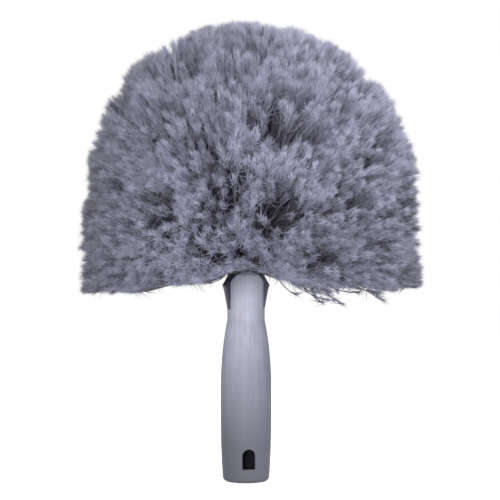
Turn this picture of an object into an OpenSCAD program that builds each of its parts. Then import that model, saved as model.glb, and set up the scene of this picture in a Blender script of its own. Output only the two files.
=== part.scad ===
// Dome-headed cobweb brush for the end of a telescopic pole.
//
// A hollow grip pushes onto the pole. Its neck ends in two tongues, front and back, which hold
// the stem of a dome-shaped block. Nine rings of split-ended bristles stand out of the block,
// each ring with its own slice of the block's skin, and a flat anchor is buried under each tuft.
//
// Units are millimetres. +Z runs up the pole's axis from the centre of the socket's mouth,
// and -Y is the front, where the window for the pole's spring button is.

/* [Grip] */
// Diameter of the grip at the mouth of its socket
mouth_d = 30; // [29:0.5:34]
// Diameter of the grip where it is widest
belly_d = 33.2; // [32:0.2:38]
// Diameter of the neck above the grip
neck_d = 24.4; // [23.8:0.2:27]
// Height over which the grip swells from its mouth to its widest
swell_h = 44; // [30:1:60]
// Length of the widest stretch
belly_h = 16.5; // [8:0.5:30]
// Height over which the grip narrows to the neck
taper_h = 44.5; // [34:0.5:60]
// Height of the plain neck below the tongues
neck_h = 7; // [4:0.5:12]
// Radius that rounds the outer edge of the mouth
mouth_round = 3; // [1:0.25:3]

/* [Pole socket] */
// Diameter of the straight stretch that grips the pole
socket_d = 24; // [22:0.1:25]
// Length of the straight stretch
socket_straight = 40; // [30:1:60]
// Diameter of the blind end of the socket
socket_tip_d = 20.4; // [16:0.2:21]
// Thickness of the wall that closes the socket
web_t = 3; // [2:0.5:6]
// Width of the window for the pole's spring button
window_w = 8.4; // [6:0.2:10]
// Height of the window, arch included
window_h = 13.2; // [10:0.2:18]
// Height of the window's sill above the mouth
window_sill = 9.1; // [6:0.1:14]

/* [Tongues] */
// Part of the neck's round that each tongue takes, in degrees
tongue_arc = 124; // [100:2:130]
// Height of a tongue, from the neck to the top of its arch
tongue_h = 24.5; // [18:0.5:32]
// Rise of the arch at the top of a tongue
arch_rise = 7; // [3:0.5:9]
// Height of the bevel along the arch
arch_bevel = 2.4; // [0.6:0.2:2.6]
// Wall thickness of the neck and of the tongues
neck_wall = 2; // [1.6:0.1:2.4]

/* [Block] */
// Depth of the block's stem below the tongues
stem_depth = 11; // [8:0.5:18]
// Diameter of the two cheeks that fill the sides between the tongues
cheek_d = 31; // [28:0.2:34]
// Height of the widest point of the cheeks above the neck
cheek_h = 15.5; // [12:0.5:18]
// How far the lip round the widest point stands out
cheek_lip = 1.1; // [0.6:0.1:1.6]
// Height over which the cheeks draw in again
cheek_slope = 6; // [3:0.5:6]
// Height of the ridge that clicks the stem into the neck
ridge = 0.5; // [0.3:0.1:0.8]
// Diameter of the dome, over its skin
dome_d = 46; // [40:1:56]
// Height of the dome
dome_h = 58; // [50:1:70]
// Thickness of the plate that the dome stands on
plate_t = 2; // [1.5:0.25:4]
// Thickness of the skin that the tufts are set in
skin_t = 3; // [2:0.25:3.5]

/* [Anchors] */
// Length of an anchor, in line with its tuft
anchor_len = 2; // [1.6:0.1:2.4]
// Height of an anchor
anchor_h = 2.6; // [2:0.1:2.8]
// Thickness of an anchor
anchor_t = 0.5; // [0.3:0.05:0.8]

/* [Bristle head] */
// Width of the head over the bristle tips
head_w = 221; // [180:1:260]
// Depth of the head, front to back
head_depth = 202; // [170:1:250]
// Height of the crown above the widest level of the head
head_rise = 161.5; // [120:0.5:190]
// Height of the widest level above the foot of the dome
head_mid = 2; // [0:0.5:10]
// How far the lowest tips hang below the widest level, at the left and right
rim_drop = 20; // [6:0.5:28]
// How much higher the lowest tips stand at the front and back
rim_lift = 17; // [0:0.5:22]
// Squareness of the head's outline: 2 is an ellipse
head_square = 2.4; // [2:0.1:3]
// Spacing of the tufts round the head, at their tips
tuft_pitch = 21.5; // [20:0.5:27]
// Thickness of a strand at its slender middle
strand_d = 2; // [1:0.1:3]
// Thickness of a strand where its split ends spread
spread_d = 8; // [4:0.5:9]
// Unevenness of the tips, as a share of the strands' length
ragged = 0.05; // [0:0.01:0.08]

/* [Hidden] */
$fn = 96;

// Clearances
fit = 0.1;        // between the neck and the parts inside it
skin_gap = 0.3;   // round each slice of skin
anchor_gap = 0.1; // round an anchor in its groove
past = 1;         // how far a cut runs past what it cuts

// Colours
grip_grey = [0.56, 0.56, 0.63];
block_dark = [0.19, 0.18, 0.24];
bristle_grey = [0.49, 0.48, 0.56];
anchor_steel = [0.72, 0.71, 0.68];

// Heights of the grip
belly_z = swell_h;
belly_top_z = belly_z + belly_h;
neck_z = belly_top_z + taper_h;
shoulder_z = neck_z + neck_h;
tongue_top_z = shoulder_z + tongue_h;
web_top_z = shoulder_z - stem_depth;
socket_end_z = web_top_z - web_t;

// Radii and widths of the grip
mouth_r = mouth_d / 2;
belly_r = belly_d / 2;
neck_r = neck_d / 2;
seat_r = neck_r - neck_wall;
tongue_half = neck_r * sin(tongue_arc / 2);
arch_r = (pow(tongue_half, 2) + pow(arch_rise, 2)) / (2 * arch_rise);
curve_steps = 14;
round_steps = 4;

// Heights of the block
tongue_gap = 0.8; // between the tongues' tops and the plate
plate_z = tongue_top_z + tongue_gap;
dome_z = plate_z + plate_t;
head_mid_z = dome_z + head_mid;
dome_square = 2.2;
crown_flat_r = 3;
ridge_up = 4.4;   // height of the ridge above the end of the stem
ridge_z = web_top_z + ridge_up;
ridge_flat = 0.2; // half the height of the ridge's flat top
lip_h = 3.5;      // height over which the cheeks' lip grows
groove_depth = anchor_len + 2 * anchor_gap;
groove_h = anchor_h + 2 * anchor_gap;

// Rings of tufts: eight rings and a crown, each with a lower and an upper row of strands
rings = 9;
crown_ring = rings - 1;
rows = 2 * rings;
strand_middle = 0.5; // where a strand is slender
strand_spread = 0.92; // where its ends spread widest
seed = 7;

// Radius of the grip's outside at height z
function swell(z) = belly_r - (belly_r - mouth_r) * pow((belly_z - z) / swell_h, 2);
function narrowing(z) = belly_r - (belly_r - neck_r) * pow((z - belly_top_z) / taper_h, 2);

// Superellipse: a point [radius, height] at angle a, for half-width w and height h
function rounded(w, h, square, a) =
    [w * pow(cos(a), 2 / square), h * sign(a) * pow(abs(sin(a)), 2 / square)];

// Radius of the same outline at height z
function rounded_r(w, h, square, z) = w * pow(max(0, 1 - pow(abs(z) / h, square)), 1 / square);

// Table of [distance along an outline, height], to space things evenly along it
function along(points) = [
    for (i = 0, d = 0; i < len(points); i = i + 1,
         d = d + (i < len(points) ? norm(points[i] - points[i - 1]) : 0))
        [d, points[i][1]]
];
function length_of(table) = table[len(table) - 1][0];
function height_at(table, share) = lookup(share * length_of(table), table);

// Dome outline, from its foot to the small flat at its top
outline_steps = 60;
dome_r = dome_d / 2;
function dome_radius(z) = rounded_r(dome_r, dome_h, dome_square, z - dome_z);
flat_angle = acos(pow(crown_flat_r / dome_r, dome_square / 2));
dome_table = along([
    for (i = [0 : outline_steps])
        rounded(dome_r, dome_h, dome_square, flat_angle * i / outline_steps) + [0, dome_z]
]);
function ring_z(k) = height_at(dome_table, k / rings);

// Outline of the bristle tips at the left and right, from the rim to the crown
rim_angle = -asin(pow(rim_drop / head_rise, head_square / 2));
tip_table = along([
    for (i = [0 : outline_steps])
        rounded(head_w / 2, head_rise, head_square, rim_angle + (90 - rim_angle) * i / outline_steps)
]);
tip_first = 0.012; // share of the outline below the lowest row of tips
tip_last = 0.955;  // share of the outline up to the highest row
function row_z(row) = height_at(tip_table, tip_first + (tip_last - tip_first) * row / (rows - 1));
function row_r(row) = rounded_r(head_w / 2, head_rise, head_square, row_z(row));

// Number of tufts in a ring, from the room at its tips
function tufts(k) = max(6, round(360 / 2 * (row_r(2 * k) + row_r(2 * k + 1)) * PI / 180 / tuft_pitch));

// The head is a little shallower than it is wide
function depth_share(az) = 1 / sqrt(pow(cos(az), 2) + pow(sin(az) * head_w / head_depth, 2));

// The lowest rows stand higher at the front and back than at the sides
lift_rows = 8;
lift_power = 4; // the higher it is, the narrower the raised parts are
function lift(az, row) =
    rim_lift * pow(abs(sin(az)), lift_power) * pow(max(0, 1 - row / lift_rows), 2);

// Tip of a strand
function tip(row, az) = let (r = row_r(row) * depth_share(az))
    [r * cos(az), r * sin(az), head_mid_z + row_z(row) + lift(az, row)];

function on_circle(r, az, z) = [r * cos(az), r * sin(az), z];
function circle_points(r, z, n, turn) = [for (i = [0 : n - 1]) on_circle(r, (i + turn) * 360 / n, z)];
function unit(v) = v / norm(v);

// Seven points of a strand, from its middle to its tip, over the three corners of its root
function strand_points(corners, end) =
    let (root = (corners[0] + corners[1] + corners[2]) / 3,
         side = unit(corners[1] - corners[0]),
         up = unit(cross(end - root, side)),
         ways = [for (a = [210, 330, 90]) side * cos(a) + up * sin(a)])
    concat(
        [for (w = ways) root + (end - root) * strand_middle + w * strand_d / 2],
        [for (w = ways) root + (end - root) * strand_spread + w * spread_d / 2],
        [end]
    );

// Faces that join two rings of three corners
function strand_wall(a, b) = [
    for (i = [0 : 2]) let (j = (i + 1) % 3) each [[a[i], a[j], b[j]], [a[i], b[j], b[i]]]
];

// Faces of a strand whose own points start at number p
function strand_faces(corners, p) = concat(
    strand_wall(corners, [p, p + 1, p + 2]),
    strand_wall([p, p + 1, p + 2], [p + 3, p + 4, p + 5]),
    [for (i = [0 : 2]) [p + 3 + i, p + 3 + (i + 1) % 3, p + 6]]
);

// Inner radius of a slice of skin, and of the core under it
function skin_inner(k) = k == crown_ring
    ? dome_radius(ring_z(k)) - skin_t
    : dome_radius(ring_z(k + 1)) - skin_t;
function core_r(k) = skin_inner(k) * cos(180 / tufts(k)) - skin_gap;
crown_post_h = 1.6; // height of the core's top above the foot of the crown's slice
core_top_z = ring_z(crown_ring) + crown_post_h;

// One ring of bristles: a slice of the block's skin, with a lower and an upper row of strands
// that grow out of its triangles. The crown's slice is closed on top.
module bristles(k) {
    crown = k == crown_ring;
    n = tufts(k);
    low_z = ring_z(k) + skin_gap / 2;
    mid_z = height_at(dome_table, (k + 0.5) / rings);
    top_z = ring_z(k + 1) - (crown ? 0 : skin_gap / 2);
    roof_z = crown ? core_top_z + skin_gap : top_z;
    uneven = rands(1 - ragged, 1, 2 * n, seed + k);

    skin = concat(
        circle_points(dome_radius(low_z), low_z, n, 0),
        circle_points(dome_radius(mid_z), mid_z, n, 0.5),
        circle_points(dome_radius(top_z), top_z, n, 0),
        circle_points(skin_inner(k), low_z, n, 0),
        circle_points(skin_inner(k), roof_z, n, 0)
    );
    low = [for (i = [0 : n]) i % n];
    mid = [for (i = [0 : n]) n + i % n];
    top = [for (i = [0 : n + 1]) 2 * n + i % n];
    inner_low = [for (i = [0 : n]) 3 * n + i % n];
    inner_top = [for (i = [0 : n]) 4 * n + i % n];

    roots = concat(
        [for (i = [0 : n - 1]) [low[i], low[i + 1], mid[i]]],
        [for (i = [0 : n - 1]) [mid[i], mid[i + 1], top[i + 1]]]
    );
    ends = concat(
        [for (i = [0 : n - 1]) tip(2 * k, (i + 0.5) * 360 / n)],
        [for (i = [0 : n - 1]) tip(2 * k + 1, (i + 1) * 360 / n)]
    );
    strands = [
        for (s = [0 : 2 * n - 1])
            let (corners = [for (c = roots[s]) skin[c]],
                 root = (corners[0] + corners[1] + corners[2]) / 3)
            strand_points(corners, root + (ends[s] - root) * uneven[s])
    ];
    faces = concat(
        [for (i = [0 : n - 1]) each [
            [mid[i], low[i + 1], mid[i + 1]],
            [top[i + 1], mid[i + 1], top[i + 2]],
            [low[i + 1], low[i], inner_low[i]],
            [low[i + 1], inner_low[i], inner_low[i + 1]],
            [inner_low[i], inner_top[i], inner_top[i + 1]],
            [inner_low[i], inner_top[i + 1], inner_low[i + 1]]
        ]],
        crown
            ? [for (i = [1 : n - 2]) each [
                  [top[0], top[i], top[i + 1]],
                  [inner_top[0], inner_top[i + 1], inner_top[i]]
              ]]
            : [for (i = [0 : n - 1]) each [
                  [top[i], top[i + 1], inner_top[i + 1]],
                  [top[i], inner_top[i + 1], inner_top[i]]
              ]],
        [for (s = [0 : 2 * n - 1]) each strand_faces(roots[s], 5 * n + 7 * s)]
    );
    color(bristle_grey)
        polyhedron(
            points = concat(skin, [for (s = strands) each s]),
            faces = [for (f = faces) [f[0], f[2], f[1]]]
        );
}

// Hollow grip: socket for the pole below, seat for the block's stem above
module handle() {
    color(grip_grey)
        difference() {
            rotate_extrude() grip_outline();
            pole_socket();
            window();
            ridged_stem(seat_r, web_top_z, tongue_top_z + 2 * past, fit);
            side_wedges(shoulder_z, 0);
            arch_waste();
        }
}

module grip_outline() {
    polygon(concat(
        [[0, 0]],
        [for (i = [0 : round_steps]) let (a = 90 * i / round_steps)
            [swell(mouth_round) - mouth_round * (1 - sin(a)), mouth_round * (1 - cos(a))]],
        [for (i = [1 : curve_steps]) let (z = mouth_round + (belly_z - mouth_round) * i / curve_steps)
            [swell(z), z]],
        [for (i = [0 : curve_steps]) let (z = belly_top_z + taper_h * i / curve_steps)
            [narrowing(z), z]],
        [[neck_r, tongue_top_z + past], [0, tongue_top_z + past]]
    ));
}

module pole_socket() {
    translate([0, 0, -past]) cylinder(d = socket_d, h = socket_straight + past);
    translate([0, 0, socket_straight])
        cylinder(d1 = socket_d, d2 = socket_tip_d, h = socket_end_z - socket_straight);
}

// Arched window through the front wall
module window() {
    arch_z = window_sill + window_h - window_w / 2;
    translate([-window_w / 2, -belly_r - past, window_sill])
        cube([window_w, belly_r + past, arch_z - window_sill]);
    translate([0, 0, arch_z]) rotate([90, 0, 0]) cylinder(d = window_w, h = belly_r + past);
}

// Stem of the block, or the seat it sits in: a cylinder of radius r with a ridge round it
module ridged_stem(r, low_z, high_z, grow) {
    rotate_extrude()
        polygon([
            [0, low_z], [r, low_z],
            [r, ridge_z - 2 * ridge - grow], [r + ridge, ridge_z - ridge_flat - grow],
            [r + ridge, ridge_z + ridge_flat + grow], [r, ridge_z + 2 * ridge + grow],
            [r, high_z], [0, high_z]
        ]);
}

// The room between the tongues at the left and right, drawn in by a clearance
module side_wedges(low_z, gap) {
    for (side = [0, 180])
        rotate([0, 0, side])
            translate([gap / cos(tongue_arc / 2), 0, low_z])
                linear_extrude(tongue_h + 2 * past)
                    polygon([[0, 0], [belly_d, -belly_d / tan(tongue_arc / 2)],
                             [belly_d, belly_d / tan(tongue_arc / 2)]]);
}

// What is cut off above the tongues' arches, whose outer edges are bevelled
module arch_waste() {
    difference() {
        translate([-belly_r, -belly_r, tongue_top_z - arch_rise - past])
            cube([belly_d, belly_d, arch_rise + 3 * past]);
        translate([0, 0, tongue_top_z - arch_r])
            rotate([90, 0, 0]) rotate_extrude() arch_outline();
    }
}

// Half the section of the round under both arches, from the back to the front
module arch_outline() {
    polygon([
        [0, -belly_d], [arch_r - arch_bevel, -belly_d], [arch_r - arch_bevel, -neck_r],
        [arch_r, -seat_r], [arch_r, seat_r],
        [arch_r - arch_bevel, neck_r], [arch_r - arch_bevel, belly_d], [0, belly_d]
    ]);
}

// Block: stem and cheeks in the neck, a plate, and a stepped core under the skin
module brush_block() {
    color(block_dark) {
        difference() {
            union() {
                ridged_stem(seat_r - fit, web_top_z + fit, plate_z + plate_t / 2, 0);
                cheeks();
                rotate_extrude() core_outline();
            }
            for (k = [0 : crown_ring - 1]) anchor_groove(k);
            crown_groove();
        }
    }
}

// Two cheeks that fill the sides between the tongues and flare out above the neck
module cheeks() {
    cheek_z = shoulder_z + cheek_h;
    intersection() {
        rotate_extrude()
            polygon([
                [0, shoulder_z + fit], [neck_r, shoulder_z + fit],
                [cheek_d / 2 - cheek_lip, cheek_z - lip_h],
                [cheek_d / 2, cheek_z],
                [neck_r, cheek_z + cheek_slope],
                [neck_r, plate_z + plate_t / 2], [0, plate_z + plate_t / 2]
            ]);
        side_wedges(shoulder_z, fit);
    }
}

// Plate and stepped core, one step for each slice of skin
module core_outline() {
    polygon(concat(
        [[0, plate_z], [dome_r - skin_t, plate_z], [dome_r - skin_t / 2, dome_z]],
        [for (k = [0 : crown_ring]) each [
            [core_r(k), ring_z(k)],
            [core_r(k), k == crown_ring ? core_top_z : ring_z(k + 1)]
        ]],
        [[0, core_top_z]]
    ));
}

function anchor_z(k) = (ring_z(k) + ring_z(k + 1)) / 2;
crown_anchor_r = core_r(crown_ring) / 2;

module anchor_groove(k) {
    rotate_extrude()
        translate([core_r(k) - groove_depth, anchor_z(k) - groove_h / 2])
            square([groove_depth + past, groove_h]);
}

module crown_groove() {
    rotate_extrude()
        translate([crown_anchor_r - groove_depth / 2, core_top_z - groove_h])
            square([groove_depth, groove_h + past]);
}

module anchor() {
    translate([0, -anchor_t / 2, -anchor_h / 2]) cube([anchor_len, anchor_t, anchor_h]);
}

// One flat anchor under each tuft of a ring
module anchors(k) {
    n = tufts(k);
    color(anchor_steel)
        for (i = [0 : n - 1])
            rotate([0, 0, (i + 0.75) * 360 / n])
                translate([core_r(k) - groove_depth + anchor_gap, 0, anchor_z(k)]) anchor();
}

module anchors_in_crown() {
    n = tufts(crown_ring);
    color(anchor_steel)
        for (i = [0 : n - 1])
            rotate([0, 0, (i + 0.75) * 360 / n])
                translate([crown_anchor_r - anchor_len / 2, 0, core_top_z - groove_h / 2]) anchor();
}

handle();
brush_block();
bristles(0);  // bristle_ring_1
bristles(1);  // bristle_ring_2
bristles(2);  // bristle_ring_3
bristles(3);  // bristle_ring_4
bristles(4);  // bristle_ring_5
bristles(5);  // bristle_ring_6
bristles(6);  // bristle_ring_7
bristles(7);  // bristle_ring_8
bristles(8);  // bristle_crown
anchors(0);  // anchors_1
anchors(1);  // anchors_2
anchors(2);  // anchors_3
anchors(3);  // anchors_4
anchors(4);  // anchors_5
anchors(5);  // anchors_6
anchors(6);  // anchors_7
anchors(7);  // anchors_8
anchors_in_crown();  // anchors_crown
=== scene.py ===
"""A dome-headed cobweb brush, dressed round its frame of true solids.

The frame holds the grip, the block and the anchors. This file gives them their moulded plastic and
plated wire, sets a skin on the block, grows a tuft of split-ended bristles over every anchor, and
lights them in a plain studio. Lengths are in metres.
"""

import math

import bpy
import numpy as np
from bpy.props import FloatProperty, FloatVectorProperty, IntProperty, PointerProperty
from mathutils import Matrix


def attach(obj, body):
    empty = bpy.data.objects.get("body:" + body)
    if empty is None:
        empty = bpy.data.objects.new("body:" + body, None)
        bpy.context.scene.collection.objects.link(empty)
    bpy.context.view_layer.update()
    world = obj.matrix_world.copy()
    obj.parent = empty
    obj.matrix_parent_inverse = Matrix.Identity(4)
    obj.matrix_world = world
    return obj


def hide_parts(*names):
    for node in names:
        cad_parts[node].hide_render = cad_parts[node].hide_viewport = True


bl_info = {
    "name": "Cobweb Brush",
    "version": (1, 0, 0),
    "blender": (4, 5, 0),
    "location": "3D View > Sidebar > Brush",
    "description": "Bristles, plastic and a plain studio for a dome-headed cobweb brush",
    "category": "Object",
}

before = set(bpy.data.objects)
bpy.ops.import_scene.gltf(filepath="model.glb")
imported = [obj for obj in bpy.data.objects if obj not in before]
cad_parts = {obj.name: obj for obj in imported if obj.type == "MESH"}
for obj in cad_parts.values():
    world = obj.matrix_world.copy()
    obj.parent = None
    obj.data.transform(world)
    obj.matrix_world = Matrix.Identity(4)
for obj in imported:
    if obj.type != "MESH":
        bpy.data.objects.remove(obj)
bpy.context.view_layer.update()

BODY = "root"
RINGS = 9
RING_NODES = [f"bristle_ring_{k}" for k in range(1, RINGS)] + ["bristle_crown"]
ANCHOR_NODES = [f"anchors_{k}" for k in range(1, RINGS)] + ["anchors_crown"]
STRAND_MAP, BAKE_MAP = "Strands", "OFBake"

SIDES = 3        # of a bristle
STEM_RINGS = 6   # rings of corners along a bristle, its tip included
SPLIT_RINGS = 2  # and along one of its split ends
SHADES = 64      # columns of the bristles' map, one shade each
OUTLINE_STEPS = 400
SEED = 11

# Round the head
ANCHOR_GAP = math.radians(3)  # least gap between two anchors
WIDE_FRONT, CLOSE_FRONT = 4, 60  # how narrow the two raised stretches at the front are
CLOSE_SHARE = 0.66  # of the front's lift that is in the narrower stretch
STRAY_NARROW = 24  # how narrow the stretch without loose bristles at the front is

# Over the head's outside
PEAK_RADIUS = 0.03
TRIM_FROM, TRIM_SPAN = 0.64, 0.16  # shares of the rise: where the trim starts, and how far it grows
LEFT_HOLLOW = (math.radians(173), math.radians(31), 0.3)  # azimuth, climb and reach
RIGHT_HOLLOW = (math.radians(-7), math.radians(74), 0.22)
FIRM, FIRM_FRONT = 0.55, 0.2  # share of the way that a low point is raised, and what the front adds

# Of a tuft
FIRST_TIP, LAST_TIP = 0.012, 0.955  # shares of the head's outline, at the lowest and the highest tuft
ROW_STRAY = 0.012  # how far a tuft strays along that outline
TUFT_STRAY = 0.0022  # how far it strays over the head's outside
CROWN_ROOT, CROWN_SPREAD = 0.7, 1.15  # the crown's tufts stand nearer the axis and spread wider
STRAY_DROP = (0.002, 0.013)  # how far a loose bristle hangs down
ROOT_DEPTH = 0.001  # how far under the skin a bristle starts
SPLIT_SPAN = 0.16  # how much of a bristle its split ends leave from
RIM_REACH, RIM_THICK = 1.25, 0.0004  # a rim's radius, by that of its hole, and its thickness
CROWN_HOLE = 0.0015  # inner radius of the crown's slice of skin

# Of the grip, whose mouth is at height 0
SOCKET_RADIUS, SOCKET_TOP = 0.012, 0.098
# Height up to which the grip grows darker towards its mouth
FOOT_DARK_TOP = 0.007
PAINTED_SHADE_LOW, PAINTED_SHADE_TOP = 0.025, 0.095  # painted shade of the lower grip: where it starts to fade, and where it ends

# In the studio: right, ahead and up from the point that the camera aims at
KEY_PLACE, KEY_AIM = (-0.13, -1.1, 0.06), (0, 0, 0.04)
KEY_RADIUS, KEY_CONE = 0.15, math.radians(32)
LAMPS = {  # the place and the side of each square lamp
    "left": ((-0.35, -0.3, 0.8), 0.6),
    "back": ((0, 0.9, 0.6), 0.8),
    "right": ((0.55, -0.3, 0.7), 0.6),
}
FLOOR_HALF, FLOOR_GAP = 3.0, 0.0002  # half the floor's width, and how far it lies under the brush
FLOOR_WHITE = 0.97  # how bright the camera sees the floor


def length(name, description, default):
    """A size in metres."""
    return FloatProperty(name=name, description=description, default=default, unit="LENGTH",
                         precision=4)


def share(name, description, default):
    """A share from 0 to 1."""
    return FloatProperty(name=name, description=description, default=default, min=0, max=1)


def colour(name, description, default):
    """A colour, as light."""
    return FloatVectorProperty(name=name, description=description, default=default,
                               subtype="COLOR", size=3, min=0, max=1)


class HeadSizes(bpy.types.PropertyGroup):
    """The outline of the head and of the block under it."""

    width: length("Width", "Width of the head over the tips", 0.2285)
    depth: length("Depth", "Depth of the head, front to back", 0.208)
    rise: length("Rise", "Height of the crown above the widest level", 0.162)
    top_trim: share("Top trim", "How much shorter the bristles near the top are trimmed", 0.03)
    peak: length("Peak", "How much longer the bristles at the very top are", 0.005)
    peak_right: length("Peak right", "How far right of the middle the bristles are longest", 0.011)
    left_hollow: length("Left hollow", "How much shorter the bristles of the left shoulder are", 0.0045)
    right_hollow: length("Right hollow", "How much shorter the bristles right of the top are", 0.003)
    lean: length("Lean", "How far the tips lean to the right", 0.0025)
    middle: length("Middle", "Height of the widest level", 0.1413)
    drop: length("Drop", "How far the lowest tips hang below the widest level", 0.0182)
    front_lift: length("Front lift", "How much higher the lowest tips are at the front and back", 0.0318)
    right_lift: length("Right lift", "How much higher the lowest tips are at the right", 0.0055)
    parting: FloatProperty(name="Parting", description="Where the lowest tips are highest",
                           default=math.radians(-97), subtype="ANGLE")
    square: FloatProperty(name="Squareness", description="2 is an ellipse", default=2.62)
    dome_width: length("Dome width", "Diameter of the block's dome", 0.046)
    dome_rise: length("Dome rise", "Height of the block's dome", 0.058)
    dome_foot: length("Dome foot", "Height of the foot of the dome", 0.1393)
    dome_square: FloatProperty(name="Dome squareness", description="2 is an ellipse", default=2.2)
    dome_flat: length("Dome flat", "Radius of the flat on top of the dome", 0.003)
    skin: length("Skin", "Thickness of the skin that holds the tufts", 0.003)


class BristleSizes(bpy.types.PropertyGroup):
    """How the bristles of a tuft are set, bent and split."""

    locks: IntProperty(name="Locks", description="Locks in a tuft", default=29)
    per_lock: IntProperty(name="Bristles in a lock", description="Bristles in each lock", default=3)
    splits: IntProperty(name="Split ends", description="Split ends of each bristle", default=24)
    hole: length("Hole", "Radius of the hole that a tuft stands in", 0.0022)
    spread: length("Spread", "Radius that a tuft's locks spread over", 0.0155)
    lock_spread: length("Lock spread", "Radius that a lock's bristles spread over", 0.0011)
    lock_bend: length("Lock bend", "How far the end of a lock bends aside", 0.005)
    split_spread: length("Split spread", "Radius that a bristle's split ends spread over", 0.002)
    stem: length("Bristle", "Radius of a bristle", 0.00028)
    split: length("Split end", "Radius of a split end", 0.00026)
    wave: length("Wave", "How far a bristle strays from its straight way", 0.0015)
    drift: length("Drift", "How far neighbouring tufts lean together", 0.0065)
    drift_span: length("Drift span", "Width of a group of tufts that lean together", 0.05)
    strays: share("Strays", "Share of the lowest bristles that hang loose", 0.022)
    stray_side: FloatProperty(name="Stray side", description="Where most bristles hang loose",
                              default=math.radians(-66), subtype="ANGLE")
    uneven: share("Unevenness", "How much shorter the shortest locks are", 0.07)
    shorter: length("Shorter ends", "How far below the tip the shortest split ends stop", 0.016)
    split_from: share("Split from", "Where along a bristle its ends split", 0.92)


class Finishes(bpy.types.PropertyGroup):
    """Colours of the moulded plastic, the bristles and the wire."""

    grip: colour("Grip", "Moulded plastic of the grip", (0.475, 0.485, 0.6))
    block: colour("Block", "Moulded plastic of the block", (0.045, 0.043, 0.065))
    # painted shade: from this colour the bristles darken further down towards the block
    root: colour("Bristle root", "Bristles near the block", (0.33, 0.32, 0.435))
    tip: colour("Bristle tip", "Bristles at their split ends", (0.57, 0.555, 0.735))
    wire: colour("Wire", "Plated wire of the anchors", (0.55, 0.54, 0.52))
    paper: colour("Paper", "Paper of the floor", (0.45, 0.45, 0.45))


class Studio(bpy.types.PropertyGroup):
    """Camera and lamps."""

    distance: length("Distance", "From the camera to the brush", 1.0)
    height: length("Height", "Height of the camera", 0.1505)
    across: length("Across", "How far right of the grip the camera aims", 0.0026)
    turn: FloatProperty(name="Turn", description="How far the front is turned to the right",
                        default=math.radians(7), subtype="ANGLE")
    lens: FloatProperty(name="Lens", description="Focal length", default=110.3,
                        subtype="DISTANCE_CAMERA")
    key: FloatProperty(name="Key", description="Power of the soft lamp by the camera", default=51.0,
                       subtype="POWER")
    left: FloatProperty(name="Left", description="Power of the high lamp at the left", default=1.0,
                        subtype="POWER")
    right: FloatProperty(name="Right", description="Power of the high lamp at the right", default=8.0,
                         subtype="POWER")
    back: FloatProperty(name="Back", description="Power of the lamp behind the brush", default=10.0,
                        subtype="POWER")
    sky: FloatProperty(name="Sky", description="Strength of the light from all round", default=0.06)


GROUPS = {"brush_head": HeadSizes, "brush_bristles": BristleSizes, "brush_finishes": Finishes,
          "brush_studio": Studio}


class Outline:
    """A superellipse from a low height up to its top, read by the share of its length."""

    def __init__(self, width, rise, square, low=0.0, flat=0.0):
        self.half, self.rise, self.square = width / 2, rise, square
        first = -math.asin((low / rise) ** (square / 2))
        last = math.acos((flat / self.half) ** (square / 2))
        angles = np.linspace(first, last, OUTLINE_STEPS)
        self.radius = self.half * np.abs(np.cos(angles)) ** (2 / square)
        self.height = rise * np.sign(angles) * np.abs(np.sin(angles)) ** (2 / square)
        steps = np.hypot(np.diff(self.radius), np.diff(self.height))
        self.share = np.concatenate([[0], np.cumsum(steps)]) / steps.sum()

    def at(self, along):
        """Radius and height at a share of the length."""
        return np.interp(along, self.share, self.radius), np.interp(along, self.share, self.height)


def unit(vectors):
    """The same vectors, one long."""
    return vectors / np.maximum(np.linalg.norm(vectors, axis=-1, keepdims=True), 1e-12)


def around(azimuth, radius=1.0, height=0.0):
    """Points at azimuths round the axis."""
    return np.stack([radius * np.cos(azimuth), radius * np.sin(azimuth), height + 0 * azimuth], axis=-1)


def disc(rng, count):
    """Points spread nearly evenly over a disc of radius 1."""
    turn = np.arange(count) * math.radians(137.5) + rng.uniform(0, 2 * math.pi)
    reach = np.sqrt((np.arange(count) + 0.5) / count) * rng.uniform(0.82, 1.12, count)
    return np.stack([reach * np.cos(turn), reach * np.sin(turn)], axis=-1)


def curve(ends, count):
    """Points along cubic curves, given their four controls as (curves, 4, 3)."""
    t = np.linspace(0, 1, count)[:, None]
    weights = np.stack([(1 - t) ** 3, 3 * t * (1 - t) ** 2, 3 * t ** 2 * (1 - t), t ** 3])
    return np.einsum("ktc,nkx->ntx", weights, ends)


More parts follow.
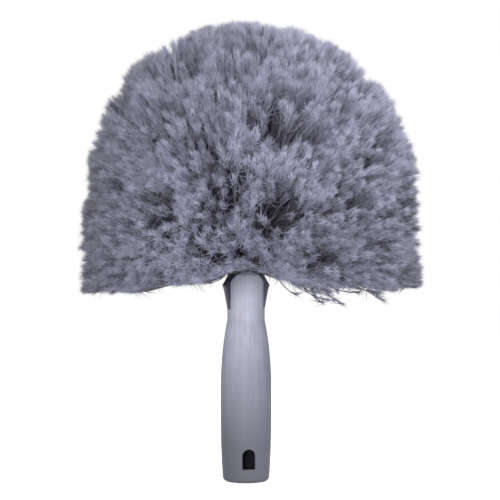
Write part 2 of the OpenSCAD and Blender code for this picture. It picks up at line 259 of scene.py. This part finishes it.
class Strands:
    """Many thin, tapering tubes of three sides, gathered for one mesh."""

    def __init__(self):
        self.points, self.maps, self.quads, self.triangles = [], [], [], []
        self.used = 0

    def add(self, middles, radii, shades, along, rng):
        """Adds tubes along middles (tubes, rings, 3). The last ring is a point."""
        count, rings = middles.shape[:2]
        ways = unit(np.gradient(middles, axis=1))
        side = np.cross(ways.mean(axis=1), rng.normal(size=(count, 3)))[:, None, :]
        side = unit(side - (side * ways).sum(-1, keepdims=True) * ways)
        up = np.cross(ways, side)
        turn = np.arange(SIDES) * 2 * math.pi / SIDES
        wall = (side[:, :, None] * np.cos(turn)[:, None] + up[:, :, None] * np.sin(turn)[:, None])
        wall = middles[:, :, None] + wall * radii[:, :, None, None]
        body = wall[:, :-1].reshape(count, -1, 3)
        points = np.concatenate([body, middles[:, -1:]], axis=1)
        each = points.shape[1]

        across = (shades[:, None] + 0.15 + 0.7 * np.arange(SIDES) / SIDES) / SHADES
        across_wall = np.broadcast_to(across[:, None, :], (count, rings - 1, SIDES))
        along_wall = np.broadcast_to(along[:, :-1, None], (count, rings - 1, SIDES))
        maps = np.stack([across_wall, along_wall], axis=-1).reshape(count, -1, 2)
        tip = np.stack([across.mean(axis=1), along[:, -1]], axis=-1)[:, None]
        maps = np.concatenate([maps, tip], axis=1)

        ring = np.arange(rings - 2)[:, None] * SIDES
        here, after = np.arange(SIDES), (np.arange(SIDES) + 1) % SIDES
        quads = np.stack(np.broadcast_arrays(ring + here, ring + after, ring + SIDES + after,
                                             ring + SIDES + here), axis=-1).reshape(-1, 4)
        last = (rings - 2) * SIDES
        top = np.stack([last + here, last + after, np.full(SIDES, each - 1)], axis=-1)
        triangles = np.concatenate([top, [[2, 1, 0]]])
        starts = self.used + np.arange(count)[:, None, None] * each
        self.points.append(points.reshape(-1, 3))
        self.maps.append(maps.reshape(-1, 2))
        self.quads.append((starts + quads).reshape(-1, 4))
        self.triangles.append((starts + triangles).reshape(-1, 3))
        self.used += count * each

    def mesh(self, name):
        """One smooth mesh of all the strands."""
        return mesh_of(name, np.concatenate(self.points), np.concatenate(self.quads),
                       np.concatenate(self.triangles), np.concatenate(self.maps))


def mesh_of(name, points, quads, triangles=(), maps=None):
    """A smooth mesh object from arrays."""
    quads, triangles = np.asarray(quads).reshape(-1, 4), np.asarray(triangles, int).reshape(-1, 3)
    corners = np.concatenate([quads.ravel(), triangles.ravel()]).astype(np.int32)
    sizes = np.concatenate([np.full(len(quads), 4), np.full(len(triangles), 3)]).astype(np.int32)
    mesh = bpy.data.meshes.new(name)
    mesh.vertices.add(len(points))
    mesh.vertices.foreach_set("co", np.asarray(points, np.float32).ravel())
    mesh.loops.add(len(corners))
    mesh.loops.foreach_set("vertex_index", corners)
    mesh.polygons.add(len(sizes))
    starts = np.concatenate([[0], np.cumsum(sizes)[:-1]]).astype(np.int32)
    mesh.polygons.foreach_set("loop_start", starts)
    mesh.polygons.foreach_set("use_smooth", np.ones(len(sizes), bool))
    mesh.update(calc_edges=True)
    if maps is not None:
        for title in (STRAND_MAP, BAKE_MAP):
            layer = mesh.uv_layers.new(name=title)
            layer.data.foreach_set("uv", maps[corners].astype(np.float32).ravel())
    mesh.validate()
    piece = bpy.data.objects.new(name, mesh)
    bpy.context.scene.collection.objects.link(piece)
    return piece


def anchor_azimuths(node):
    """Azimuth of the middle of each anchor in a node."""
    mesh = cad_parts[node].data
    points = np.zeros(len(mesh.vertices) * 3)
    mesh.vertices.foreach_get("co", points)
    points = points.reshape(-1, 3)
    azimuth = np.arctan2(points[:, 1], points[:, 0]) % (2 * math.pi)
    order = np.argsort(azimuth)
    groups = np.split(order, np.flatnonzero(np.diff(azimuth[order]) > ANCHOR_GAP) + 1)
    if azimuth[order[0]] + 2 * math.pi - azimuth[order[-1]] < ANCHOR_GAP:
        groups[0] = np.concatenate([groups[0], groups.pop()])
    middles = np.array([(points[g].min(0) + points[g].max(0)) / 2 for g in groups])
    return np.arctan2(middles[:, 1], middles[:, 0])


class Head:
    """Where tufts start on the dome and where their tips end."""

    def __init__(self, sizes):
        self.sizes = sizes
        self.tips = Outline(sizes.width, sizes.rise, sizes.square, low=sizes.drop)
        self.dome = Outline(sizes.dome_width, sizes.dome_rise, sizes.dome_square, flat=sizes.dome_flat)
        self.centre = np.array([0, 0, sizes.middle])

    def root(self, k, azimuth):
        """Root of a tuft of ring k, and the way it leaves the skin."""
        along = (k + 0.5) / RINGS
        step = 0.01
        (low_r, high_r), (low_z, high_z) = self.dome.at([along - step, along + step])
        radius, height = self.dome.at(along)
        out = unit(np.array([high_z - low_z, low_r - high_r]))
        if k == RINGS - 1:
            radius, out = radius * CROWN_ROOT, unit(out + [0, 1])
        place = around(azimuth, radius, self.sizes.dome_foot + height)
        return place, around(azimuth, out[0], out[1])

    def front(self, azimuth, narrow):
        """1 at the front and back, 0 at the left and right."""
        return np.abs(np.cos(azimuth - self.sizes.parting)) ** narrow

    def lift(self, azimuth, height):
        """How much higher a low tip stands at the front and back."""
        fade = np.clip(1 - (height + self.sizes.drop) / (self.sizes.rise / 3), 0, 1) ** 2
        wide, close = self.front(azimuth, WIDE_FRONT), self.front(azimuth, CLOSE_FRONT)
        front = self.sizes.front_lift * ((1 - CLOSE_SHARE) * wide + CLOSE_SHARE * close)
        right = self.sizes.right_lift * np.clip(np.cos(azimuth), 0, 1) ** 3
        return (front + right) * fade

    def narrow(self, azimuth):
        """How much nearer the tips are than at the left and right."""
        deep = self.sizes.width / self.sizes.depth
        return 1 / np.sqrt(np.cos(azimuth) ** 2 + (np.sin(azimuth) * deep) ** 2)

    def tip(self, along, azimuth):
        """Point of the head's outside at a share of its outline."""
        radius, height = self.tips.at(along)
        return around(azimuth, radius * self.narrow(azimuth), height) + self.centre

    def near(self, way, azimuth, climb, reach):
        """1 along a direction, fading to 0 round it."""
        aim = np.array([math.cos(azimuth) * math.cos(climb), math.sin(azimuth) * math.cos(climb),
                        math.sin(climb)])
        return np.exp(-((way - aim) ** 2).sum(-1) / reach ** 2)

    def pulled(self, points):
        """Points moved along their ray from the middle, onto the head's outside."""
        rays = points - self.centre
        azimuth = np.arctan2(rays[..., 1], rays[..., 0])
        radius = np.hypot(rays[..., 0], rays[..., 1]) / self.narrow(azimuth)
        size = (radius / self.tips.half) ** self.tips.square
        size = size + (np.abs(rays[..., 2]) / self.tips.rise) ** self.tips.square
        rays = rays * (size ** (-1 / self.tips.square))[..., None]
        across = rays[..., 0] - self.sizes.peak_right
        near_top = np.exp(-(across ** 2 + rays[..., 1] ** 2) / PEAK_RADIUS ** 2) * (rays[..., 2] > 0)
        climb = np.clip((rays[..., 2] / self.tips.rise - TRIM_FROM) / TRIM_SPAN, 0, 1)
        trim = self.sizes.top_trim * climb ** 2 * (3 - 2 * climb)
        way = unit(rays)
        left = self.near(way, *LEFT_HOLLOW) * self.sizes.left_hollow
        right = self.near(way, *RIGHT_HOLLOW) * self.sizes.right_hollow
        hollow = (left + right) / self.tips.half
        rays = rays * (1 - trim - hollow + self.sizes.peak / self.sizes.rise * near_top)[..., None]
        return self.lifted(rays + self.centre + [self.sizes.lean, 0, 0])

    def lifted(self, points):
        """Points raised nearly to the level of the lowest tips, where they hang under it."""
        azimuth = np.arctan2(points[..., 1], points[..., 0])
        firm = FIRM + FIRM_FRONT * self.front(azimuth, CLOSE_FRONT)
        height = points[..., 2] - self.sizes.middle
        reach = np.clip(np.hypot(points[..., 0], points[..., 1]) / self.tips.half, 0, 1)
        low = (self.lift(azimuth, height) - self.sizes.drop) * reach
        raised = points.copy()
        raised[..., 2] += firm * np.maximum(low - height, 0)
        return raised


class Drift:
    """A smooth field of small leanings, so that tufts crowd together here and part there."""

    def __init__(self, bristles):
        rng = np.random.default_rng(SEED)
        waves = 8
        self.ways = unit(rng.normal(size=(waves, 3))) * 2 * math.pi / bristles.drift_span
        self.ways = self.ways * rng.uniform(0.7, 1.5, (waves, 1))
        self.starts = rng.uniform(0, 2 * math.pi, waves)
        self.size = bristles.drift * math.sqrt(2 / waves)

    def at(self, points):
        """The lean at each point, and from 0 to 1 how much the tufts part there."""
        turn = points @ self.ways.T + self.starts
        lean = np.sin(turn) @ unit(self.ways) * self.size
        part = np.cos(turn).sum(-1) / math.sqrt(len(self.starts) / 2)
        return lean, np.clip(part / 2, 0, 1)


def grow_tuft(strands, head, drift, bristles, k, azimuth, rng):
    """One tuft of ring k: locks of bristles, each split into fine ends."""
    root, out = head.root(k, azimuth)
    along = FIRST_TIP + (LAST_TIP - FIRST_TIP) * (2 * k + 0.5) / (2 * RINGS - 1)
    middle = head.tip(along + rng.normal(0, ROW_STRAY), azimuth)
    outward = unit(middle - head.centre)
    sideways = unit(np.cross([0, 0, 1.0], outward))
    upward = np.cross(outward, sideways)
    shift = rng.normal(0, TUFT_STRAY, 2)
    reach = 1 - bristles.uneven * 0.6 * rng.random() ** 2

    places = disc(rng, bristles.locks)
    wide = bristles.spread * rng.uniform(0.88, 1.1)
    if k == RINGS - 1:
        wide = wide * CROWN_SPREAD
    offsets = places * wide + shift
    ends = middle + offsets[:, :1] * sideways + offsets[:, 1:] * upward
    lean, part = drift.at(ends)
    ends = head.pulled(ends + lean)
    lengths = reach * (1 - bristles.uneven * (rng.random(bristles.locks) ** 1.5 + 0.9 * part ** 2))
    ends = root + (ends - root) * lengths[:, None]
    bend = rng.normal(size=(bristles.locks, 3)) * bristles.lock_bend
    bend = bend - (bend * outward).sum(1, keepdims=True) * outward
    shades = rng.integers(0, SHADES, bristles.locks)

    locks = np.repeat(np.arange(bristles.locks), bristles.per_lock)
    count = len(locks)
    scatter = rng.normal(size=(count, 3)) * bristles.lock_spread * 0.6
    tips = head.lifted(ends[locks] + scatter + 0.5 * bend[locks])
    stray = np.zeros((count, 3))
    if k == 0:
        stray[:, 2] = -hang(head, bristles, azimuth, count, rng)
    tips = tips + stray
    starts = root - out * ROOT_DEPTH
    starts = starts + (places[locks, :1] * sideways + places[locks, 1:] * upward) * bristles.hole
    starts = starts + rng.normal(size=(count, 3)) * bristles.hole * 0.15
    run = np.linalg.norm(tips - starts, axis=1, keepdims=True)
    straight = (tips - starts) / run
    wave = rng.normal(size=(2, count, 3)) * bristles.wave
    leave = unit(straight + out * 0.9)
    arrive = unit(straight + bend[locks] / bristles.lock_bend * 0.25)
    controls = np.stack([starts, starts + leave * run * 0.3 + wave[0] * 0.5,
                         tips - arrive * run * 0.35 + wave[1], tips], axis=1)
    stems = curve(controls, STEM_RINGS)
    t = np.broadcast_to(np.linspace(0, 1, STEM_RINGS), (count, STEM_RINGS))
    radii = bristles.stem * (1 + 0.25 * t)
    shade = (shades[locks] + rng.integers(0, 2, count)) % SHADES
    strands.add(stems, radii, shade, t * bristles.split_from, rng)
    split_ends(strands, head, bristles, stems, tips, stray, shades[locks], rng)


def hang(head, bristles, azimuth, count, rng):
    """How far down each bristle of a lowest tuft hangs, which is 0 for most."""
    side = max(0, math.cos(azimuth - bristles.stray_side)) ** 20
    loose = bristles.strays * (0.15 + 6 * side) * (1 - head.front(azimuth, STRAY_NARROW))
    return rng.uniform(*STRAY_DROP, count) * (rng.random(count) < loose)


def split_ends(strands, head, bristles, stems, tips, stray, shades, rng):
    """The fine ends that bristles split into, fanned out round their tips."""
    stem_of = np.repeat(np.arange(len(stems)), bristles.splits)
    many = len(stem_of)
    from_t = bristles.split_from - SPLIT_SPAN * rng.random(many) ** 2 + rng.uniform(0, 0.03, many)
    place = from_t * (STEM_RINGS - 1)
    low = place.astype(int)
    part = (place - low)[:, None]
    at = stems[stem_of, low] * (1 - part) + stems[stem_of, low + 1] * part
    way = unit(stems[stem_of, -1] - stems[stem_of, -2])
    fan = rng.normal(size=(many, 3))
    fan = fan - (fan * way).sum(1, keepdims=True) * way
    short = bristles.shorter * rng.random(many)[:, None] ** 4
    fan = fan * (bristles.split_spread * 0.7 + short * 0.25)
    goal = (tips - stray)[stem_of] + fan - way * short
    goal = goal + way * rng.uniform(-0.0015, 0.001, many)[:, None]
    goal = (goal + head.lifted(goal)) / 2 + stray[stem_of]
    run = np.linalg.norm(goal - at, axis=1, keepdims=True)
    curl = rng.normal(size=(many, 3)) * run * 0.16
    controls = np.stack([at, at + way * run * 0.35, goal - unit(goal - at) * run * 0.3 + curl, goal],
                        axis=1)
    t = np.linspace(0, 1, SPLIT_RINGS)
    radii = bristles.split * rng.uniform(0.75, 1.3, many)[:, None] * (1 - 0.5 * t)
    along = np.broadcast_to(bristles.split_from * (1 - t) + t, (many, SPLIT_RINGS))
    shade = (shades[stem_of] + rng.integers(0, 4, many)) % SHADES
    strands.add(curve(controls, SPLIT_RINGS), radii, shade, along, rng)


def band(outline, low, high, inner, foot):
    """One slice of skin as a closed ring: points and faces."""
    steps, turns, edge = 6, 96, 0.0003
    gap = edge / 2
    radius, height = outline.at(np.linspace(low, high, steps))
    height = height + foot
    bottom, top = height[0] + gap, height[-1] - gap
    profile = [(inner, bottom), (radius[0] - edge, bottom)]
    profile += list(zip(radius, np.clip(height, bottom + edge, top - edge)))
    profile += [(radius[-1] - edge, top), (inner, top)]
    profile = np.array(profile)
    azimuth = np.arange(turns) * 2 * math.pi / turns
    points = around(azimuth[:, None], profile[:, 0], profile[:, 1])
    return points, lathe_faces(turns, len(profile))


def lathe_faces(turns, rows):
    """Faces of a closed outline turned round the axis."""
    here = np.arange(turns)[:, None] * rows
    after = (np.arange(turns)[:, None] + 1) % turns * rows
    row, up = np.arange(rows), (np.arange(rows) + 1) % rows
    corners = np.broadcast_arrays(here + row, after + row, after + up, here + up)
    return np.stack(corners, axis=-1).reshape(-1, 4)


def collar(place, out, radius, thick):
    """The small raised rim of a tuft's hole."""
    turns, rows = 12, 6
    side = unit(np.cross(out, [0, 0.1, 1.0]))
    up = np.cross(out, side)
    turn = np.arange(turns)[:, None] * 2 * math.pi / turns
    roll = np.arange(rows)[None, :] * 2 * math.pi / rows
    ring = radius + thick * np.cos(roll)
    rise = thick * np.sin(roll) + 0 * turn
    points = (place + (ring * np.cos(turn))[..., None] * side + (ring * np.sin(turn))[..., None] * up
              + rise[..., None] * out)
    return points, lathe_faces(turns, rows)


class Nodes:
    """A node tree, built by short calls."""

    def __init__(self, tree):
        self.tree = tree

    def new(self, kind, **values):
        """A node with its settings and its sockets' values."""
        node = self.tree.nodes.new("ShaderNode" + kind)
        for name, value in values.items():
            if name in node.inputs:
                node.inputs[name].default_value = value
            else:
                setattr(node, name, value)
        return node

    def join(self, source, node, socket):
        """Links an output to a socket."""
        self.tree.links.new(source, node.inputs[socket])

    def ramp(self, source, stops):
        """A colour ramp with stops of (place, colour)."""
        node = self.new("ValToRGB")
        marks = node.color_ramp.elements
        while len(marks) < len(stops):
            marks.new(0.5)
        for mark, (place, shade) in zip(marks, stops):
            mark.position = place
            mark.color = (*shade, 1)
        self.join(source, node, 0)
        return node.outputs["Color"]

    def mix(self, factor, first, second, blend="MIX"):
        """Two colours mixed by a factor. Each may be an output or a value."""
        node = self.new("Mix", data_type="RGBA", blend_type=blend)
        for socket, value in ((0, factor), (6, first), (7, second)):
            if isinstance(value, bpy.types.NodeSocket):
                self.tree.links.new(value, node.inputs[socket])
            else:
                node.inputs[socket].default_value = value if socket == 0 else (*value, 1)
        return node.outputs[2]

    def remap(self, source, low, high, to_low, to_high):
        """A number carried from one range to another."""
        node = self.new("MapRange")
        for socket, value in zip(range(1, 5), (low, high, to_low, to_high)):
            node.inputs[socket].default_value = value
        self.join(source, node, 0)
        return node.outputs[0]

    def maths(self, operation, first, second):
        """Arithmetic on two outputs or values."""
        node = self.new("Math", operation=operation)
        for socket, value in enumerate((first, second)):
            if isinstance(value, bpy.types.NodeSocket):
                self.tree.links.new(value, node.inputs[socket])
            else:
                node.inputs[socket].default_value = value
        return node.outputs[0]

    def noise(self, source, scale, detail=3.0, stretch=(1, 1, 1)):
        """Noise over stretched coordinates."""
        mapping = self.new("Mapping", Scale=stretch)
        self.join(source, mapping, "Vector")
        node = self.new("TexNoise", Scale=scale, Detail=detail)
        self.join(mapping.outputs["Vector"], node, "Vector")
        return node.outputs["Fac"]

    def looked_at(self):
        """1 for rays from the camera, off gloss or through glass, and 0 for all others."""
        path = self.new("LightPath")
        looked = self.maths("MAXIMUM", path.outputs["Is Camera Ray"], path.outputs["Is Glossy Ray"])
        return self.maths("MAXIMUM", looked, path.outputs["Is Transmission Ray"])


class Finish(Nodes):
    """A new material's nodes, with its shader."""

    def __init__(self, name):
        self.material = bpy.data.materials.new(name)
        self.material.use_nodes = True
        super().__init__(self.material.node_tree)
        self.shader = self.tree.nodes["Principled BSDF"]

    def bump(self, height, distance, strength=0.5):
        """Links a height to the shader's normal."""
        node = self.new("Bump", Strength=strength, Distance=distance)
        self.join(height, node, "Height")
        self.join(node.outputs["Normal"], self.shader, "Normal")


def scaled(tint, by):
    """A colour made lighter or darker."""
    return tuple(min(1.0, c * by) for c in tint)


def bristle_fibre(finishes):
    """Dull fibre, with painted shade that darkens it towards the root; pale and faintly streaked at the
    split ends.
    """
    m = Finish("bristle_fibre")
    where = m.new("UVMap", uv_map=STRAND_MAP).outputs["UV"]
    split = m.new("SeparateXYZ")
    m.join(where, split, 0)
    column = m.maths("FLOOR", m.maths("MULTIPLY", split.outputs["X"], SHADES), 0)
    batch = m.new("TexNoise", noise_dimensions="1D", Scale=0.11, Detail=1.5)
    m.join(column, batch, "W")
    tone = m.remap(batch.outputs["Fac"], 0.32, 0.68, 0, 1)
    # Painted shade: the bristles darken from the split ends down to the root, deep in the head
    along = m.ramp(split.outputs["Y"], [
        (0, scaled(finishes.root, 0.2)), (0.6, scaled(finishes.root, 0.35)),
        (0.85, scaled(finishes.root, 0.85)), (0.93, finishes.root),
        (0.97, scaled(finishes.tip, 0.78)), (1, finishes.tip)])
    toned = m.mix(1.0, along, m.mix(tone, (0.2, 0.205, 0.23), (1.0, 1.0, 1.0)), "MULTIPLY")
    hue = m.mix(m.remap(batch.outputs["Fac"], 0.4, 0.6, 0, 0.4), (1, 1, 1), (0.92, 1.0, 0.98))
    tinted = m.mix(1.0, toned, hue, "MULTIPLY")
    streak = m.noise(where, 30, 2, (SHADES, 1.5, 1))
    m.join(m.mix(m.remap(streak, 0.35, 0.65, 0, 0.1), tinted, (0.1, 0.1, 0.14)), m.shader, "Base Color")
    m.join(m.remap(streak, 0.3, 0.7, 0.55, 0.75), m.shader, "Roughness")
    m.shader.inputs["Specular IOR Level"].default_value = 0.3
    m.shader.inputs["Sheen Weight"].default_value = 0.1
    return m.material


def grip_plastic(finishes):
    """Satin moulded plastic: faint flow lines, painted shade over the lower grip, darker still by the
    mouth, and painted shade inside the socket.
    """
    m = Finish("grip_plastic")
    where = m.new("TexCoord").outputs["Object"]
    split = m.new("SeparateXYZ")
    m.join(where, split, 0)
    grip, height = finishes.grip, split.outputs["Z"]
    flow = m.noise(where, 1.0, 4, (420, 420, 12))
    cloud = m.noise(where, 60, 3)
    body = m.mix(m.remap(cloud, 0.3, 0.7, 0, 1), scaled(grip, 0.9), scaled(grip, 1.07))
    lined = m.mix(m.remap(flow, 0.42, 0.62, 0, 0.32), body, scaled(grip, 0.7))
    scuffs = m.noise(where, 900, 2, (1, 1, 0.25))
    scuffed = m.mix(m.remap(scuffs, 0.66, 0.74, 0, 0.3), lined, scaled(grip, 1.3))
    # Painted shade: the lower grip darkened, as less light reaches it, fading out upwards
    lower_grip_painted_shade = m.mix(m.remap(height, PAINTED_SHADE_LOW, PAINTED_SHADE_TOP, 1.0, 0), scuffed, scaled(grip, 0.43))
    # Darker towards the mouth, over its lowest few millimetres
    low = m.mix(m.remap(height, 0.0, FOOT_DARK_TOP, 0.3, 0), lower_grip_painted_shade, scaled(grip, 0.5))
    # Painted shade: the socket's inside, seen through the window, made nearly black
    radius = m.new("VectorMath", operation="LENGTH")
    flat = m.new("CombineXYZ")
    m.join(split.outputs["X"], flat, 0)
    m.join(split.outputs["Y"], flat, 1)
    m.join(flat.outputs[0], radius, 0)
    inside = m.remap(radius.outputs["Value"], SOCKET_RADIUS + 0.0003, SOCKET_RADIUS + 0.0008, 0.96, 0)
    under = m.remap(height, SOCKET_TOP + 0.0005, SOCKET_TOP + 0.001, 1, 0)
    socket_painted_shade = m.mix(m.maths("MULTIPLY", inside, under), low, (0.006, 0.006, 0.012))
    m.join(socket_painted_shade, m.shader, "Base Color")
    m.join(m.remap(scuffs, 0.3, 0.75, 0.4, 0.52), m.shader, "Roughness")
    m.shader.inputs["Specular IOR Level"].default_value = 0.08
    grain = m.noise(where, 2600, 2)
    m.bump(m.maths("ADD", grain, m.maths("MULTIPLY", flow, 2.0)), 0.00003, 0.35)
    return m.material


def block_plastic(finishes):
    """Dark moulded plastic with a fine eroded grain."""
    m = Finish("block_plastic")
    where = m.new("TexCoord").outputs["Object"]
    cloud = m.noise(where, 140, 4)
    block = finishes.block
    body = m.mix(m.remap(cloud, 0.35, 0.65, 0, 1), scaled(block, 0.8), scaled(block, 1.25))
    dust = m.noise(where, 1500, 2)
    dusted = m.mix(m.remap(dust, 0.62, 0.72, 0, 0.35), body, scaled(block, 2.4))
    m.join(dusted, m.shader, "Base Color")
    m.join(m.remap(cloud, 0.3, 0.7, 0.4, 0.55), m.shader, "Roughness")
    m.shader.inputs["Specular IOR Level"].default_value = 0.25
    m.bump(m.noise(where, 3200, 2), 0.00004, 0.4)
    return m.material


def plated_wire(finishes):
    """Flat plated wire, drawn along its length."""
    m = Finish("plated_wire")
    where = m.new("TexCoord").outputs["Object"]
    drawn = m.noise(where, 1.0, 3, (900, 900, 9000))
    body = m.mix(m.remap(drawn, 0.3, 0.7, 0, 1), scaled(finishes.wire, 0.8), finishes.wire)
    m.join(body, m.shader, "Base Color")
    m.shader.inputs["Metallic"].default_value = 1.0
    m.join(m.remap(drawn, 0.3, 0.7, 0.25, 0.45), m.shader, "Roughness")
    m.bump(drawn, 0.00002, 0.3)
    return m.material


def studio_paper(finishes):
    """Pale paper that the camera sees as white, and that keeps the brush's shadow."""
    m = Finish("studio_paper")
    where = m.new("TexCoord").outputs["Object"]
    fibre = m.noise(where, 40, 3)
    m.join(m.mix(m.remap(fibre, 0.3, 0.7, 0, 1), scaled(finishes.paper, 0.99), finishes.paper),
           m.shader, "Base Color")
    m.shader.inputs["Roughness"].default_value = 0.9
    m.shader.inputs["Specular IOR Level"].default_value = 0.0
    m.shader.inputs["Emission Color"].default_value = (1, 1, 1, 1)
    m.join(m.maths("MULTIPLY", m.looked_at(), FLOOR_WHITE), m.shader, "Emission Strength")
    return m.material


def dress(node, material):
    """Gives a node of the frame its material."""
    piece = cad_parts[node]
    piece.data.materials.clear()
    piece.data.materials.append(material)


class BRUSH_OT_grip(bpy.types.Operator):
    """Give the grip its satin plastic"""

    bl_idname = "brush.finish_grip"
    bl_label = "Grip"

    def execute(self, context):
        dress("handle", grip_plastic(context.scene.brush_finishes))
        return {"FINISHED"}


class BRUSH_OT_block(bpy.types.Operator):
    """Give the block its dark plastic"""

    bl_idname = "brush.finish_block"
    bl_label = "Block"

    def execute(self, context):
        dress("brush_block", block_plastic(context.scene.brush_finishes))
        return {"FINISHED"}


class BRUSH_OT_anchors(bpy.types.Operator):
    """Give the anchors their plated wire"""

    bl_idname = "brush.finish_anchors"
    bl_label = "Anchors"

    def execute(self, context):
        wire = plated_wire(context.scene.brush_finishes)
        for node in ANCHOR_NODES:
            dress(node, wire)
        return {"FINISHED"}


class BRUSH_OT_skin(bpy.types.Operator):
    """Set the skin on the block, in slices, with a rim round every tuft's hole"""

    bl_idname = "brush.set_skin"
    bl_label = "Skin"

    def execute(self, context):
        head = Head(context.scene.brush_head)
        bristles = context.scene.brush_bristles
        parts = []
        for k in range(RINGS):
            inner = max(head.dome.at((k + 1) / RINGS)[0] - head.sizes.skin, CROWN_HOLE)
            parts.append(band(head.dome, k / RINGS, (k + 1) / RINGS, inner, head.sizes.dome_foot))
            for azimuth in anchor_azimuths(ANCHOR_NODES[k]):
                place, out = head.root(k, azimuth)
                parts.append(collar(place, out, bristles.hole * RIM_REACH, RIM_THICK))
        points, faces, used = [], [], 0
        for corners, quads in parts:
            points.append(corners.reshape(-1, 3))
            faces.append(quads + used)
            used += len(points[-1])
        skin = mesh_of("block_skin", np.concatenate(points), np.concatenate(faces))
        skin.data.materials.append(bpy.data.materials["block_plastic"])
        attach(skin, BODY)
        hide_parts(*RING_NODES)
        return {"FINISHED"}


class BRUSH_OT_bristles(bpy.types.Operator):
    """Grow a tuft of split-ended bristles over every anchor"""

    bl_idname = "brush.grow_bristles"
    bl_label = "Bristles"

    def execute(self, context):
        head = Head(context.scene.brush_head)
        bristles = context.scene.brush_bristles
        drift = Drift(bristles)
        fibre = bristle_fibre(context.scene.brush_finishes)
        for k, node in enumerate(RING_NODES):
            azimuths = anchor_azimuths(ANCHOR_NODES[k])
            for side, chosen in (("right", np.cos(azimuths) >= 0), ("left", np.cos(azimuths) < 0)):
                rng = np.random.default_rng(SEED + 2 * k + (side == "left"))
                strands = Strands()
                for azimuth in azimuths[chosen]:
                    grow_tuft(strands, head, drift, bristles, k, azimuth, rng)
                piece = strands.mesh(f"{node}_{side}")
                piece.data.materials.append(fibre)
                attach(piece, BODY)
                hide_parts(node)
        return {"FINISHED"}


class BRUSH_OT_studio(bpy.types.Operator):
    """Set up the floor, the lamps, the white surround and the camera"""

    bl_idname = "brush.set_studio"
    bl_label = "Studio"

    def execute(self, context):
        scene, studio = context.scene, context.scene.brush_studio
        self.floor(context)
        self.surround(scene, studio.sky)
        right = np.array([math.cos(studio.turn), -math.sin(studio.turn), 0])
        ahead = np.array([math.sin(studio.turn), math.cos(studio.turn), 0])
        axes = np.stack([right, ahead, [0, 0, 1.0]], axis=1)
        aim = right * studio.across + np.array([0, 0, studio.height])
        self.spot("key", aim + axes @ KEY_PLACE, aim + axes @ KEY_AIM, studio.key)
        for name, (place, side) in LAMPS.items():
            self.lamp(name, aim + axes @ place, aim, side, getattr(studio, name))
        camera = bpy.data.objects.new("camera", bpy.data.cameras.new("camera"))
        camera.data.lens = studio.lens
        camera.location = aim - ahead * studio.distance
        camera.rotation_euler = (math.pi / 2, 0, -studio.turn)
        scene.collection.objects.link(camera)
        scene.camera = camera
        scene.view_settings.view_transform = "Standard"
        return {"FINISHED"}

    def floor(self, context):
        """A wide sheet of pale paper under the brush."""
        half = FLOOR_HALF
        corners = [(-half, -half, -FLOOR_GAP), (half, -half, -FLOOR_GAP),
                   (half, half, -FLOOR_GAP), (-half, half, -FLOOR_GAP)]
        sheet = mesh_of("floor", corners, [[0, 1, 2, 3]])
        sheet.data.materials.append(studio_paper(context.scene.brush_finishes))

    def surround(self, scene, strength):
        """Even light from all round, which the camera and gloss see as white."""
        world = bpy.data.worlds.new("surround")
        scene.world = world
        world.use_nodes = True
        nodes = Nodes(world.node_tree)
        back = nodes.tree.nodes["Background"]
        back.inputs["Color"].default_value = (1, 1, 1, 1)
        nodes.join(nodes.remap(nodes.looked_at(), 0, 1, strength, 1), back, "Strength")

    def lamp(self, name, place, aim, size, power):
        """A square soft lamp that looks at a point."""
        light = bpy.data.lights.new(name, "AREA")
        light.size = size
        self.hang(light, place, aim, power)

    def spot(self, name, place, aim, power):
        """A round lamp whose light fades away from a point."""
        light = bpy.data.lights.new(name, "SPOT")
        light.shadow_soft_size = KEY_RADIUS
        light.spot_size = KEY_CONE
        light.spot_blend = 1.0
        self.hang(light, place, aim, power)

    def hang(self, light, place, aim, power):
        """Puts a light in its place, looking at a point."""
        light.energy = power
        lamp = bpy.data.objects.new(light.name, light)
        way = aim - place
        lamp.location = place
        lamp.rotation_euler = (math.atan2(math.hypot(way[0], way[1]), -way[2]), 0,
                               math.atan2(way[1], way[0]) - math.pi / 2)
        bpy.context.scene.collection.objects.link(lamp)


class BRUSH_PT_panel(bpy.types.Panel):
    """Sizes, colours and steps of the brush"""

    bl_idname = "BRUSH_PT_panel"
    bl_label = "Cobweb Brush"
    bl_space_type = "VIEW_3D"
    bl_region_type = "UI"
    bl_category = "Brush"

    def draw(self, context):
        for group in GROUPS:
            box = self.layout.box()
            settings = getattr(context.scene, group)
            for name in settings.__annotations__:
                box.prop(settings, name)
        for step in STEPS:
            self.layout.operator(step.bl_idname)


STEPS = (BRUSH_OT_studio, BRUSH_OT_grip, BRUSH_OT_block, BRUSH_OT_anchors, BRUSH_OT_skin,
         BRUSH_OT_bristles)
CLASSES = (*GROUPS.values(), *STEPS, BRUSH_PT_panel)


def register():
    """Adds the classes and the scene's settings."""
    for made in CLASSES:
        bpy.utils.register_class(made)
    for name, group in GROUPS.items():
        setattr(bpy.types.Scene, name, PointerProperty(type=group))


def unregister():
    """Takes them away again."""
    for name in GROUPS:
        delattr(bpy.types.Scene, name)
    for made in reversed(CLASSES):
        bpy.utils.unregister_class(made)


def main():
    """Builds the whole brush."""
    register()
    bpy.ops.brush.set_studio()
    bpy.ops.brush.finish_grip()
    bpy.ops.brush.finish_block()
    bpy.ops.brush.finish_anchors()
    bpy.ops.brush.set_skin()
    bpy.ops.brush.grow_bristles()


if __name__ == "__main__":
    main()
